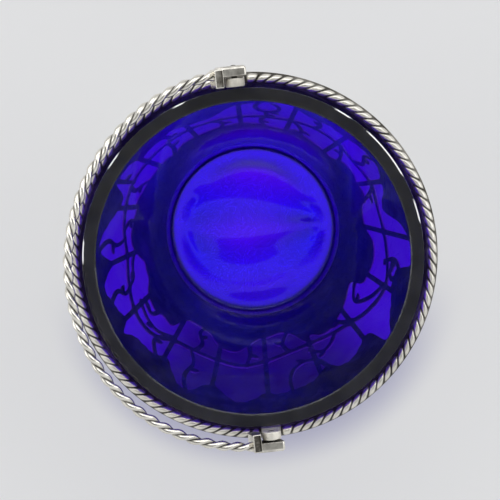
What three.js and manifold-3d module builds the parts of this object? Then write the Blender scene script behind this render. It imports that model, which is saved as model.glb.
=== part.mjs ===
// Cream pail: a pierced silver body, a thick glass liner and a twisted swing handle.
// Millimetres, +Z up. The origin is the centre of the flat underside.
// +Y runs along the hinge line, and at rest the handle lies over towards -X.
// Angles round the pail are degrees clockwise from +X, seen from above.
import * as THREE from "three";
import { mergeVertices } from "three/addons/utils/BufferGeometryUtils.js";
import Module from "manifold-3d";

const wasm = await Module();
wasm.setup();

// Clearances
const seatGap = 0.3;
const runningGap = 0.15;
const linerFootRoom = 1.05;
const linerRimRoom = 0.8;

// Base plate and wall
const baseThickness = 0.9;
const wallThickness = 0.6;
const wallTop = 57.2;
const wallTopRadius = 36.3;
const wallFootRadius = 22.4;
const wallFacets = 48;
const uprightCount = 16;
const uprightWidth = 1.2;
const uprightFoot = 20;
const garlandWidth = 1.3;
const scrollWidth = 1.0;
const bayOverlap = 0.9;

// Foot moulding
const footRopeWidth = 1.8;
const footRopeHeight = 1.8;
const footStrokeCount = 52;

// Rim
const lipWidth = 2.3;
const lipThickness = 0.7;
const lipLedge = 0.3;
const rimRopeWidth = 1.85;
const rimRopeHeight = 1.4;
const rimStrokeCount = 104;
const footStrokeLean = 1.1;
const rimStrokeLean = 0.65;
const strokeDepth = 0.3;

// Hinges
const lugWidth = 4.0;
const lugThickness = 1.8;
const lugOverhang = 0.4;
const lugRise = 5.8;
const hingeGap = 0.4;
const pinRadius = 0.6;
const pinDome = 0.15;
const holeSides = 12;

// Handle
const handleInset = 0.25;
const handleRestTilt = 17;
const knuckleRadius = 2.1;
const knuckleThickness = 2.1;
const collarLength = 1.9;
const collarWidth = 3.9;
const collarHalfHeight = 1.9;
const strandRadius = 0.64;
const strandOffset = 0.42;
const strandGap = 0.08;
const twistPitch = 6.55;
const strandSides = 5;
const stepsPerTwist = 6;

// Glass liner
const linerRise = 3.3;
const linerRimWidth = 2.8;
const linerFootWall = 2.55;
const linerFloorThickness = 2.8;
const linerBevel = 0.45;
const linerArris = 0.25;
const linerSteps = 48;

// Worked out from the sizes above
const wallBottom = baseThickness + seatGap;
const lipRadius = wallTopRadius + lipWidth;
const lipBottom = wallTop + seatGap;
const lipTop = lipBottom + lipThickness;
const rimRopeBottom = lipTop + seatGap;
const rimRopeRadius = lipRadius - lipLedge - rimRopeWidth / 2;
const pivotHeight = lipTop + lugRise;
const lugInnerFace = wallTopRadius - lugOverhang;
const lugOuterFace = lugInnerFace + lugThickness;
const knuckleInnerFace = lugOuterFace + hingeGap;
const knuckleOuterFace = knuckleInnerFace + knuckleThickness;
const handleRadius = knuckleInnerFace + knuckleThickness / 2 - handleInset;
const collarNear = lugWidth / 2 + runningGap;
const collarFar = collarNear + collarLength;
const linerTop = lipTop + linerRise;
const linerRimRadius = wallTopRadius - linerRimRoom;
const linerMouthRadius = linerRimRadius - linerRimWidth;
const linerFootRadius = wallFootRadius - linerFootRoom;
const linerFloorRadius = linerFootRadius - linerFootWall;

// Lower edge of the foliage that hangs from the top band, as [angle, percent of the wall's height]
const foliageEdge = [
  [2, 93], [6, 95], [10, 93], [13, 80], [18, 76], [22, 77], [25, 80], [32, 87], [36, 94], [39, 93],
  [41, 80], [44, 75], [48, 78], [53, 81], [58, 80], [62, 76], [65, 73], [70, 78], [75, 80], [80, 80],
  [86, 81], [91, 79], [96, 84], [102, 87], [107, 82], [112, 76], [116, 79], [119, 85], [122, 89],
  [126, 87], [130, 80], [134, 73], [139, 78], [144, 79], [150, 81], [154, 87], [157, 79], [161, 81],
  [167, 85], [172, 88], [176, 83], [180, 74], [184, 84], [188, 89], [192, 87], [197, 80], [201, 74],
  [205, 71], [209, 75], [212, 86], [217, 88], [222, 86], [226, 78], [231, 78], [236, 77], [242, 79],
  [247, 73], [252, 70], [258, 69], [263, 75], [267, 80], [270, 81], [275, 84], [282, 87], [288, 89],
  [292, 87], [296, 81], [301, 79], [307, 81], [313, 80], [319, 83], [323, 85], [329, 86], [334, 83],
  [337, 78], [341, 77], [346, 69], [351, 68], [354, 81], [357, 88],
];

// Middle of the garland bar that winds round the pail, as [angle, percent of the wall's height]
const garlandLine = [
  [6, 63], [22, 69], [36, 62], [45, 55], [54, 50], [68, 45], [79, 45], [90, 49], [101, 53],
  [113, 52], [126, 52], [135, 55], [142, 63], [149, 66], [158, 65], [168, 60], [180, 55],
  [192, 59], [203, 63], [214, 67], [225, 66], [236, 65], [248, 63], [259, 60], [270, 58],
  [286, 58], [293, 60], [303, 63], [315, 63], [326, 60], [338, 63], [350, 59],
];

// Scrolled top edge of the solid lower band, as [angle, percent of the wall's height]
const bandEdge = [
  [2, 39], [6, 46], [13, 49], [18, 48], [23, 46], [28, 43], [31, 32], [34, 31], [38, 34], [43, 38],
  [48, 41], [52, 43], [56, 45], [61, 43], [65, 38], [69, 41], [73, 32], [77, 26], [82, 24], [88, 26],
  [93, 27], [98, 33], [104, 40], [110, 40], [115, 36], [119, 30], [124, 28], [131, 28], [135, 33],
  [139, 44], [145, 44], [150, 47], [156, 45], [160, 42], [164, 36], [169, 35], [173, 35], [177, 40],
  [182, 46], [188, 49], [195, 48], [201, 47], [205, 50], [210, 48], [217, 47], [223, 46], [229, 45],
  [234, 42], [240, 46], [247, 46], [253, 45], [260, 45], [266, 44], [271, 45], [277, 43], [284, 40],
  [290, 39], [294, 42], [298, 46], [302, 41], [306, 39], [312, 38], [317, 37], [320, 37], [324, 45],
  [331, 48], [337, 45], [342, 47], [346, 44], [350, 38], [354, 36], [358, 36],
];

// Scroll bars: each is a smooth line through [angle, percent of the wall's height]
const scrolls = [
  [[23, 66], [29, 60], [33, 54], [36.5, 48], [36.5, 43], [34, 39], [31, 36]],
  [[54, 50], [58, 56], [62, 58], [65.5, 56], [68, 51]],
  [[60, 80], [64, 72], [66, 64], [70, 59], [75, 59], [79, 64], [80.5, 73], [80, 82]],
  [[47, 51], [49.5, 46], [51, 41]],
  [[137, 80], [141, 72], [142.5, 67], [141, 61], [137, 55]],
  [[136, 53], [143, 59], [150, 59], [158, 55]],
  [[148.5, 45], [150, 52], [154, 52.5], [157.5, 50]],
  [[13.5, 80], [10.5, 76], [10.5, 70], [13, 63]],
  [[17.5, 77], [18.5, 73], [16, 70], [13.5, 72], [12, 74]],
  [[214, 88], [214, 78], [214.5, 66]],
  [[281, 88], [277.5, 83], [276.5, 75], [280, 68], [285, 70], [286.5, 77], [284, 83], [281, 87]],
  [[281, 69], [282, 58]],
  [[179, 47], [174, 51], [169.5, 52], [167, 60]],
  [[294, 60], [298, 53], [300, 45], [300.5, 40]],
  [[317, 64], [320, 55], [323, 44]],
  [[339, 64], [342.5, 56], [346, 44]],
  [[234, 43], [236.5, 54], [236, 65]],
  [[98, 33], [97, 42], [99, 53]],
  [[192, 59], [196, 53], [195, 47]],
  [[258, 60], [262, 52], [260, 44]],
  [[212, 67], [210, 58], [214, 52], [216, 46]],
  [[281, 58], [279, 50], [282, 40]],
  [[124, 52], [121, 42], [125, 35], [123, 28]],
  [[78, 45], [81, 36], [77, 26]],
  [[122, 89], [125, 76], [122, 64], [126, 52]],
  [[166, 84], [169, 74], [165, 67], [167, 60]],
  [[187, 88], [190, 77], [186, 68], [188, 57]],
  [[303, 63], [305, 72], [302, 80]],
  [[326, 60], [329, 70], [325, 78], [328, 86]],
  [[237, 77], [239, 71], [237, 65]],
];

function silver(colour, roughness) {
  return new THREE.MeshStandardMaterial({ color: colour, roughness: roughness, metalness: 1.0 });
}

function named(name, geometry, material) {
  const mesh = new THREE.Mesh(geometry, material);
  mesh.name = name;
  return mesh;
}

// Solids for cutting and joining

function solidFrom(geometry) {
  const bare = geometry.clone();
  bare.deleteAttribute("normal");
  bare.deleteAttribute("uv");
  const welded = mergeVertices(bare, 1e-5);
  const mesh = new wasm.Mesh({
    numProp: 3,
    vertProperties: new Float32Array(welded.attributes.position.array),
    triVerts: new Uint32Array(welded.index.array),
  });
  return new wasm.Manifold(mesh);
}

function geometryFrom(solid) {
  const mesh = solid.getMesh();
  const geometry = new THREE.BufferGeometry();
  geometry.setAttribute("position", new THREE.BufferAttribute(new Float32Array(mesh.vertProperties), 3));
  geometry.setIndex(new THREE.BufferAttribute(new Uint32Array(mesh.triVerts), 1));
  geometry.computeVertexNormals();
  return geometry;
}

function joined(geometries) {
  return geometries.map(solidFrom).reduce((all, next) => all.add(next));
}

// A skin through closed loops of equal length: a ring when closed, otherwise with an end face at each end.
function skinned(loops, closed) {
  const around = loops[0].length;
  const points = loops.flat();
  const index = [];
  const last = closed ? loops.length : loops.length - 1;
  for (let i = 0; i < last; i += 1) {
    const next = (i + 1) % loops.length;
    for (let j = 0; j < around; j += 1) {
      const side = (j + 1) % around;
      const a = i * around + j;
      const b = i * around + side;
      const c = next * around + side;
      const d = next * around + j;
      index.push(a, b, c, a, c, d);
    }
  }
  if (!closed) {
    const end = (loops.length - 1) * around;
    for (let j = 1; j < around - 1; j += 1) {
      index.push(0, j + 1, j);
      index.push(end, end + j, end + j + 1);
    }
  }
  if (signedVolume(points, index) < 0) {
    index.reverse();
  }
  const geometry = new THREE.BufferGeometry();
  geometry.setFromPoints(points);
  geometry.setIndex(index);
  geometry.computeVertexNormals();
  return geometry;
}

function signedVolume(points, index) {
  let volume = 0;
  for (let i = 0; i < index.length; i += 3) {
    const [a, b, c] = [points[index[i]], points[index[i + 1]], points[index[i + 2]]];
    volume += a.dot(b.clone().cross(c)) / 6;
  }
  return volume;
}

function lathed(profile, steps) {
  const geometry = new THREE.LatheGeometry(profile.map(([r, z]) => new THREE.Vector2(r, z)), steps);
  geometry.rotateX(Math.PI / 2);
  return geometry;
}

// Extrudes an outline drawn in X and Z along +Y, from y0 to y1.
function alongY(shape, y0, y1, segments) {
  const geometry = new THREE.ExtrudeGeometry(shape, {
    depth: y1 - y0, bevelEnabled: false, curveSegments: segments,
  });
  geometry.rotateX(Math.PI / 2);
  geometry.translate(0, y1, 0);
  return geometry;
}

function roundHole(radius, sides) {
  const ring = [];
  for (let i = 0; i < sides; i += 1) {
    const turn = (i / sides) * 2 * Math.PI;
    ring.push(new THREE.Vector2(radius * Math.cos(turn), radius * Math.sin(turn)));
  }
  return new THREE.Path(ring);
}

// Wall

function wallInner(z) {
  const share = (z - wallBottom) / (wallTop - wallBottom);
  return wallFootRadius + (wallTopRadius - wallFootRadius) * share;
}

function wallPoint(angle, z, offset) {
  const turn = THREE.MathUtils.degToRad(angle);
  const radius = wallInner(z) + offset;
  return new THREE.Vector3(radius * Math.cos(turn), -radius * Math.sin(turn), z);
}

// The height at an angle of a smooth closed line through a table's points.
function heightAt(table, angle) {
  const count = table.length;
  let i = count - 1;
  const within = ((angle % 360) + 360) % 360;
  while (i > 0 && table[i][0] > within) {
    i -= 1;
  }
  if (table[0][0] > within) {
    i = count - 1;
  }
  const span = (k) => table[((k % count) + count) % count];
  const wrap = (from, to) => (((to - from) % 360) + 360) % 360;
  const [a1, p1] = span(i);
  const [a2, p2] = span(i + 1);
  const before = span(i - 1);
  const after = span(i + 2);
  const gap = wrap(a1, a2);
  const t = wrap(a1, angle) / gap;
  const m1 = ((p2 - before[1]) / wrap(before[0], a2)) * gap;
  const m2 = ((after[1] - p1) / wrap(a1, after[0])) * gap;
  const t2 = t * t;
  const t3 = t2 * t;
  const percent = (2 * t3 - 3 * t2 + 1) * p1 + (t3 - 2 * t2 + t) * m1
    + (3 * t2 - 2 * t3) * p2 + (t3 - t2) * m2;
  return (percent / 100) * wallTop;
}

// The plain conical sheet before it is pierced.
function wallSheet() {
  const loops = [];
  for (let i = 0; i < wallFacets; i += 1) {
    const angle = (i / wallFacets) * 360;
    loops.push([
      wallPoint(angle, wallBottom, 0), wallPoint(angle, wallTop, 0),
      wallPoint(angle, wallTop, wallThickness), wallPoint(angle, wallBottom, wallThickness),
    ]);
  }
  return skinned(loops, true);
}

// Cuts an outline of [angle, height] points straight through the sheet, square to it at the middle angle.
function throughWall(outline, middle) {
  const flat = outline.map(([angle, z]) => {
    const turn = THREE.MathUtils.degToRad(angle - middle);
    return new THREE.Vector2((wallInner(z) + wallThickness / 2) * Math.sin(turn), z);
  });
  const reach = wallTopRadius + wallThickness + 2;
  const near = wallFootRadius * 0.8;
  const block = new THREE.ExtrudeGeometry(new THREE.Shape(flat), { depth: reach - near, bevelEnabled: false });
  block.translate(0, 0, near);
  block.rotateX(Math.PI / 2);
  block.rotateZ(THREE.MathUtils.degToRad(90 - middle));
  return block;
}

// The points of a wavy edge across one bay: its ends and the table's own points between them.
function edgeAcross(table, start, end) {
  const angles = table.map(([angle]) => angle).concat(table.map(([angle]) => angle + 360));
  const inside = angles.filter((angle) => angle > start + 0.6 && angle < end - 0.6);
  return [start, ...inside, end].map((angle) => [angle, heightAt(table, angle)]);
}

// One bay's share of a band, between a lower and an upper edge that are lists of points.
function bayBand(bay, lowerEdge, upperEdge) {
  return throughWall([...lowerEdge, ...upperEdge.slice().reverse()], ((bay + 0.5) * 360) / uprightCount);
}

// A bar of even width along a line on the wall.
function wallBar(line, width) {
  const left = [];
  const right = [];
  line.forEach(([angle, z], i) => {
    const [a0, z0] = line[Math.max(i - 1, 0)];
    const [a1, z1] = line[Math.min(i + 1, line.length - 1)];
    const perDegree = THREE.MathUtils.degToRad(wallInner(z));
    const along = new THREE.Vector2((a1 - a0) * perDegree, z1 - z0).normalize();
    const across = (along.x * width) / 2;
    const turned = (along.y * width) / 2 / perDegree;
    left.push([angle - turned, z + across]);
    right.unshift([angle + turned, z - across]);
  });
  const angles = line.map(([angle]) => angle);
  return throughWall([...left, ...right], (Math.min(...angles) + Math.max(...angles)) / 2);
}

function scrollBar(table) {
  const curve = new THREE.CatmullRomCurve3(table.map(([a, p]) => new THREE.Vector3(a, (p / 100) * wallTop, 0)));
  const points = curve.getPoints(Math.round(table.length * 1.5) - 1);
  return wallBar(points.map((p) => [p.x, p.y]), scrollWidth);
}

function piercedBody() {
  const pieces = [];
  const shifted = (edge, by) => edge.map(([angle, z]) => [angle, z + by]);
  const level = (edge, z) => [[edge[0][0], z], [edge[edge.length - 1][0], z]];
  for (let bay = 0; bay < uprightCount; bay += 1) {
    const angle = (bay / uprightCount) * 360;
    const start = angle - bayOverlap;
    const end = angle + 360 / uprightCount + bayOverlap;
    const ground = edgeAcross(bandEdge, start, end);
    const foliage = edgeAcross(foliageEdge, start, end);
    const middle = edgeAcross(garlandLine, start, end);
    pieces.push(wallBar([[angle, (wallTop * uprightFoot) / 100], [angle, wallTop - 1]], uprightWidth));
    pieces.push(bayBand(bay, level(ground, wallBottom - 1), ground));
    pieces.push(bayBand(bay, shifted(middle, -garlandWidth / 2), shifted(middle, garlandWidth / 2)));
    pieces.push(bayBand(bay, foliage, level(foliage, wallTop + 1)));
  }
  const pattern = joined([...pieces, ...scrolls.map(scrollBar)]);
  const body = pattern.intersect(solidFrom(wallSheet()));
  return named("pierced_body", geometryFrom(body), silver(0xcfccc4, 0.28));
}

function basePlate() {
  const radius = wallFootRadius + wallThickness;
  const plate = lathed([[0, 0], [radius, 0], [radius, baseThickness], [0, baseThickness]], 48);
  return named("base_plate", plate, silver(0xcfccc4, 0.25));
}

// Rope-cut moulding

// A half-round wire with slanting cuts: each stroke swells from one cut to the next.
function ropeCut(radius, bottom, width, height, angles, lean) {
  const loops = [];
  for (const { angle, depth, slant } of angles) {
    const loop = [
      [-width / 2, 0], [-width / 2, height * 0.55], [-width * 0.08, height],
      [width / 2, height * 0.55], [width / 2, 0],
    ];
    loops.push(loop.map(([across, up], k) => {
      const edge = k === 0 || k === 4;
      const cut = edge ? 0 : depth;
      const r = radius + across - Math.sign(across) * cut * 0.5;
      const z = bottom + Math.max(up - cut, 0);
      const turn = THREE.MathUtils.degToRad(angle) + (across / width) * slant * lean / radius * width;
      return new THREE.Vector3(r * Math.cos(turn), -r * Math.sin(turn), z);
    }));
  }
  return loops;
}

function footMoulding() {
  const angles = [];
  for (let i = 0; i < footStrokeCount * 2; i += 1) {
    angles.push({ angle: (i / footStrokeCount) * 180, depth: i % 2 ? strokeDepth : 0, slant: 1 });
  }
  const bottom = 0.1;
  const wallOuter = wallInner(bottom + footRopeHeight) + wallThickness;
  const radius = wallOuter + seatGap + footRopeWidth / 2;
  const loops = ropeCut(radius, bottom, footRopeWidth, footRopeHeight, angles, footStrokeLean);
  return named("foot_moulding", skinned(loops, true), silver(0xc9c6bd, 0.3));
}

function rimLip() {
  const lip = lathed([
    [wallTopRadius, lipBottom], [lipRadius - 0.15, lipBottom], [lipRadius, lipBottom + 0.3],
    [lipRadius - 0.1, lipTop], [wallTopRadius, lipTop], [wallTopRadius, lipBottom],
  ], 48);
  return named("rim_lip", lip, silver(0xcfccc4, 0.25));
}

// Each length of rim rope runs from one lug to the other, and its strokes straighten at its ends.
function rimRope(name, middle) {
  const room = lugWidth / 2 + seatGap;
  const inner = rimRopeRadius - rimRopeWidth / 2;
  const half = 90 - THREE.MathUtils.radToDeg(Math.asin(room / inner));
  const count = Math.round((half * rimStrokeCount) / 360) * 4;
  const angles = [];
  for (let i = 0; i <= count; i += 1) {
    const share = i / count;
    const slant = Math.min(1, share * (count / 5), (1 - share) * (count / 5));
    angles.push({ angle: middle - half + 2 * half * share, depth: i % 2 ? 0 : strokeDepth, slant });
  }
  const loops = ropeCut(rimRopeRadius, rimRopeBottom, rimRopeWidth, rimRopeHeight, angles, rimStrokeLean);
  return named(name, skinned(loops, false), silver(0xd6d2c8, 0.3));
}

// Hinges

function hingeLug(name, side) {
  const half = lugWidth / 2;
  const shape = new THREE.Shape();
  shape.moveTo(-half, rimRopeBottom - pivotHeight);
  shape.lineTo(half, rimRopeBottom - pivotHeight);
  shape.lineTo(half, 0);
  shape.absarc(0, 0, half, 0, Math.PI, false);
  shape.lineTo(-half, rimRopeBottom - pivotHeight);
  shape.holes.push(roundHole(pinRadius + runningGap, holeSides));
  const lug = alongY(shape, lugInnerFace, lugOuterFace, 10);
  lug.translate(0, 0, pivotHeight);
  if (side < 0) {
    lug.rotateZ(Math.PI);
  }
  return named(name, lug, silver(0xcfccc4, 0.28));
}

function hingePin(name, side) {
  const pin = new THREE.LatheGeometry([
    new THREE.Vector2(0, lugInnerFace), new THREE.Vector2(pinRadius, lugInnerFace),
    new THREE.Vector2(pinRadius, knuckleOuterFace),
    new THREE.Vector2(pinRadius * 0.6, knuckleOuterFace + pinDome),
    new THREE.Vector2(0, knuckleOuterFace + pinDome),
  ], holeSides);
  if (side < 0) {
    pin.rotateZ(Math.PI);
  }
  pin.translate(0, 0, pivotHeight);
  return named(name, pin, silver(0xb9b6ad, 0.32));
}

// Handle: drawn with its half circle flat, towards -X, then tilted up to its rest.

function knuckle() {
  const shape = new THREE.Shape();
  const reach = collarFar - collarLength / 2;
  shape.moveTo(-reach, -knuckleRadius);
  shape.lineTo(0, -knuckleRadius);
  shape.absarc(0, 0, knuckleRadius, -Math.PI / 2, Math.PI / 2, false);
  shape.lineTo(-reach, knuckleRadius);
  shape.lineTo(-reach, -knuckleRadius);
  shape.holes.push(roundHole(pinRadius + runningGap * 1.3, holeSides));
  return alongY(shape, knuckleInnerFace, knuckleOuterFace, 10);
}

// The collar's near side has two flats. Each stands upright against the lug at one end of the swing.
function collar() {
  const tilt = THREE.MathUtils.degToRad(handleRestTilt);
  const ridge = collarNear / Math.cos(tilt);
  const back = ridge + collarHalfHeight * Math.tan(tilt);
  const shape = new THREE.Shape();
  shape.moveTo(-ridge, 0);
  shape.lineTo(-back, collarHalfHeight);
  shape.lineTo(-collarFar - ridge + collarNear, collarHalfHeight);
  shape.lineTo(-collarFar - ridge + collarNear, -collarHalfHeight);
  shape.lineTo(-back, -collarHalfHeight);
  shape.lineTo(-ridge, 0);
  return alongY(shape, lugInnerFace, lugInnerFace + collarWidth, 4);
}

function handleEnd(name, side) {
  const end = geometryFrom(joined([knuckle(), collar()]));
  if (side < 0) {
    end.scale(1, -1, 1);
    end.index.array.reverse();
    end.computeVertexNormals();
  }
  return named(name, end, silver(0xcfccc4, 0.28));
}

// Half of the twist's section, as [away from its middle, along the flat]: round outside and flat
// where it lies against the other wire.
function strandSection() {
  const flat = strandGap / 2;
  const wide = Math.PI - Math.acos((strandOffset - flat) / strandRadius);
  const section = [];
  for (let i = 0; i <= strandSides; i += 1) {
    const turn = (2 * wide * i) / strandSides - wide;
    section.push([strandOffset + strandRadius * Math.cos(turn), strandRadius * Math.sin(turn)]);
  }
  return section;
}

function handleStrand(name, phase) {
  const tilt = THREE.MathUtils.degToRad(handleRestTilt);
  const reach = collarFar - collarNear + collarNear / Math.cos(tilt) + seatGap;
  const start = Math.asin(reach / handleRadius);
  const sweep = Math.PI - 2 * start;
  const turns = Math.round(((sweep * handleRadius) / twistPitch) * 2) / 2;
  const steps = turns * stepsPerTwist;
  const loops = [];
  for (let i = 0; i <= steps; i += 1) {
    const turn = Math.PI / 2 + start + (sweep * i) / steps;
    const twist = phase + (2 * Math.PI * turns * i) / steps;
    loops.push(strandSection().map(([away, along]) => {
      const out = handleRadius + away * Math.cos(twist) - along * Math.sin(twist);
      const up = away * Math.sin(twist) + along * Math.cos(twist);
      return new THREE.Vector3(out * Math.cos(turn), out * Math.sin(turn), up);
    }));
  }
  return named(name, skinned(loops, false), silver(0xd6d2c8, 0.25));
}

function handle() {
  const group = new THREE.Group();
  group.add(handleEnd("handle_end_top", 1));
  group.add(handleEnd("handle_end_bottom", -1));
  group.add(handleStrand("handle_strand_a", 0));
  group.add(handleStrand("handle_strand_b", Math.PI));
  group.rotation.y = THREE.MathUtils.degToRad(handleRestTilt);
  group.position.z = pivotHeight;
  return group;
}

// Glass liner

function glassLiner() {
  const bottom = baseThickness + seatGap;
  const floor = bottom + linerFloorThickness;
  const profile = [
    [0, bottom], [linerFootRadius - 0.9, bottom], [linerFootRadius, bottom + 0.9],
    [linerRimRadius, linerTop - linerBevel * 1.4], [linerRimRadius - linerBevel, linerTop],
    [linerMouthRadius + linerArris, linerTop], [linerMouthRadius, linerTop - linerArris],
    [linerFloorRadius + 0.25, floor + 1.0], [linerFloorRadius - 0.5, floor + 0.1], [0, floor - 0.1],
  ];
  const glass = new THREE.MeshStandardMaterial({ color: 0x1a08a8, roughness: 0.05, metalness: 0.0 });
  return named("glass_liner", lathed(profile, linerSteps), glass);
}

const pail = new THREE.Group();
pail.add(basePlate());
pail.add(footMoulding());
pail.add(piercedBody());
pail.add(rimLip());
pail.add(rimRope("rim_rope_left", 180));
pail.add(rimRope("rim_rope_right", 0));
pail.add(hingeLug("hinge_lug_top", 1));
pail.add(hingeLug("hinge_lug_bottom", -1));
pail.add(hingePin("hinge_pin_top", 1));
pail.add(hingePin("hinge_pin_bottom", -1));
pail.add(handle());
pail.add(glassLiner());

export default pail;
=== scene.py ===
import math

import bmesh
import bpy
import numpy as np
from mathutils import Matrix, Vector


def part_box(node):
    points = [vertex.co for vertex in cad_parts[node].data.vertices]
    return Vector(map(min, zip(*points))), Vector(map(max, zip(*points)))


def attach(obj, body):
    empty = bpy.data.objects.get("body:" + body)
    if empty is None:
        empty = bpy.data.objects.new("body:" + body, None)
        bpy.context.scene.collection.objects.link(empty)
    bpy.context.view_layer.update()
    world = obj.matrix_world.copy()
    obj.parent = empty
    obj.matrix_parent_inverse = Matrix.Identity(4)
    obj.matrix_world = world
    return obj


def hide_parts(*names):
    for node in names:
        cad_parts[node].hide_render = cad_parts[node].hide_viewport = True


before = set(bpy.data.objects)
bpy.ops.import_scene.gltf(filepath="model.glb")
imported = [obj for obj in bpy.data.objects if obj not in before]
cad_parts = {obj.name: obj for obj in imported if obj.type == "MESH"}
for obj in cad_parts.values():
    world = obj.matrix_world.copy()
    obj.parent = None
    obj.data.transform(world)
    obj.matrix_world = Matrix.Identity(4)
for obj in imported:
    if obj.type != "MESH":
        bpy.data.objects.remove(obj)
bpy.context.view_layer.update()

scene = bpy.context.scene
MM = 0.001

# Camera.
# It looks almost straight down into the mouth, leaning a little back from the hinge line,
# as in the photograph: about 42 cm above the rim, with a long lens and no shift.
camera_reach = 420.0
camera_tilt = math.radians(6.72)
camera_roll = math.radians(5.93)
camera_aim = Vector((-0.68, 1.85, 61.5))
camera_lens = 145.8

camera_data = bpy.data.cameras.new("photo_camera")
camera_data.lens = camera_lens
camera_data.sensor_width = 36.0
camera_data.clip_start = 0.01
camera = bpy.data.objects.new("photo_camera", camera_data)
scene.collection.objects.link(camera)
eye = camera_aim + camera_reach * Vector((0.0, math.sin(camera_tilt), math.cos(camera_tilt)))
camera.location = Matrix.Rotation(-camera_roll, 3, "Z") @ eye * MM
camera.rotation_euler = (-camera_tilt, 0.0, -camera_roll)
scene.camera = camera

# Floor, room and lamps.
# A plain pale floor, a pale room that is dimmer overhead, and three large soft lamps. The floor also
# glows for the camera, and rays through the glass see a glow and a bright patch of their own.
floor_colour = (0.82, 0.82, 0.822, 1.0)
floor_glow = (0.765, 0.768, 0.775, 1.0)
floor_glow_share = 0.5
floor_in_glass = (0.58, 0.9, 1.0, 1.0)
floor_in_glass_share = 0.9
# Seen through the glass, the floor's glow is painted darker toward the side where the pail's own shadow
# falls
shadow_side = Vector((-0.06, -0.998, 0.0))
glass_glow_turn = (0.55, 0.96)
glass_glow = (0.77, 0.06)
# The soft blue shade painted on the floor beside the pail, on the same side
floor_shade = (0.24, 0.24, 0.44, 1.0)
shade_middle = Vector((-0.8, -7.5, 0.0)) * MM
shade_reach = (42.5 * MM, 53.0 * MM)
shade_turn = (0.2, 0.85)
floor_half = 3.0
floor_drop = 0.05 * MM
room_colour = (0.97, 0.985, 1.0, 1.0)
room_high = 0.8
room_low = 0.45
room_rise = 0.45
room_overhead = 0.36
overhead_rise = (0.80, 0.91)
room_in_glass = 2.1
room_for_camera = 0.75
# A dark patch, and a bright one that only rays through the glass see, each with its edge in degrees
dark_patch = 0.05
dark_middle = Vector((0.012, 0.125, 0.992))
dark_reach = (9.5, 8.0)
mirror_middle = Vector((-0.012, -0.117, 0.993))
mirror_reach = (22.0, 3.0)
lamps = {
    "far_lamp": ((0.17, 0.85, 0.85), (1.6, 0.8), 4.6),
    "left_lamp": ((-1.1, 0.1, 0.55), (0.6, 0.9), 1.9),
    "right_lamp": ((1.1, 0.1, 0.55), (0.6, 0.9), 1.9),
}


def node_material(name):
    material = bpy.data.materials.new(name)
    material.use_nodes = True
    tree = material.node_tree
    shader = next(n for n in tree.nodes if n.type == "BSDF_PRINCIPLED")
    output = next(n for n in tree.nodes if n.type == "OUTPUT_MATERIAL")
    return material, tree, shader, output


def add_node(tree, kind, settings=(), **inputs):
    node = tree.nodes.new(kind)
    for key, value in dict(settings).items():
        setattr(node, key, value)
    for key, value in inputs.items():
        node.inputs[key.replace("_", " ")].default_value = value
    return node


def mapped(tree, socket, low, high, to_low, to_high):
    """A smooth step from one range of values to another."""
    node = tree.nodes.new("ShaderNodeMapRange")
    node.interpolation_type = "SMOOTHSTEP"
    for key, value in (("From Min", low), ("From Max", high), ("To Min", to_low), ("To Max", to_high)):
        node.inputs[key].default_value = value
    tree.links.new(socket, node.inputs["Value"])
    return node.outputs["Result"]


corners = [(-floor_half, -floor_half, 0), (floor_half, -floor_half, 0),
           (floor_half, floor_half, 0), (-floor_half, floor_half, 0)]
floor_mesh = bpy.data.meshes.new("studio_floor")
floor_mesh.from_pydata(corners, [], [(0, 1, 2, 3)])
floor = bpy.data.objects.new("studio_floor", floor_mesh)
floor.location.z = -floor_drop
scene.collection.objects.link(floor)
floor_paper, tree, shader, output = node_material("floor_paper")
shader.inputs["Base Color"].default_value = floor_colour
shader.inputs["Roughness"].default_value = 0.9
shader.inputs["Specular IOR Level"].default_value = 0.1
floor_rays = add_node(tree, "ShaderNodeLightPath")
place = add_node(tree, "ShaderNodeTexCoord").outputs["Object"]
heading = add_node(tree, "ShaderNodeVectorMath", {"operation": "NORMALIZE"})
tree.links.new(place, heading.inputs[0])
toward = add_node(tree, "ShaderNodeVectorMath", {"operation": "DOT_PRODUCT"})
toward.inputs[1].default_value = shadow_side
tree.links.new(heading.outputs["Vector"], toward.inputs[0])
from_middle = add_node(tree, "ShaderNodeVectorMath", {"operation": "DISTANCE"})
from_middle.inputs[1].default_value = shade_middle
tree.links.new(place, from_middle.inputs[0])
shade = add_node(tree, "ShaderNodeMath", {"operation": "MULTIPLY"})
tree.links.new(mapped(tree, from_middle.outputs["Value"], *shade_reach, 1.0, 0.0), shade.inputs[0])
tree.links.new(mapped(tree, toward.outputs["Value"], *shade_turn, 0.0, 1.0), shade.inputs[1])
shaded = add_node(tree, "ShaderNodeMix", {"data_type": "RGBA"})
shaded.inputs[6].default_value = floor_glow
shaded.inputs[7].default_value = floor_shade
tree.links.new(shade.outputs[0], shaded.inputs["Factor"])
seen_glow = add_node(tree, "ShaderNodeEmission")
tree.links.new(shaded.outputs[2], seen_glow.inputs["Color"])
through_glass = add_node(tree, "ShaderNodeEmission", Color=floor_in_glass)
glow_strength = mapped(tree, toward.outputs["Value"], *glass_glow_turn, *glass_glow)
tree.links.new(glow_strength, through_glass.inputs["Strength"])
surface = shader.outputs[0]
for glow, share, ray in ((seen_glow, floor_glow_share, "Is Camera Ray"),
                         (through_glass, floor_in_glass_share, "Is Transmission Ray")):
    floor_mix = add_node(tree, "ShaderNodeMixShader")
    tree.links.new(mapped(tree, floor_rays.outputs[ray], 0.0, 1.0, 0.0, share), floor_mix.inputs[0])
    tree.links.new(surface, floor_mix.inputs[1])
    tree.links.new(glow.outputs[0], floor_mix.inputs[2])
    surface = floor_mix.outputs[0]
tree.links.new(surface, output.inputs["Surface"])
floor_mesh.materials.append(floor_paper)

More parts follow.
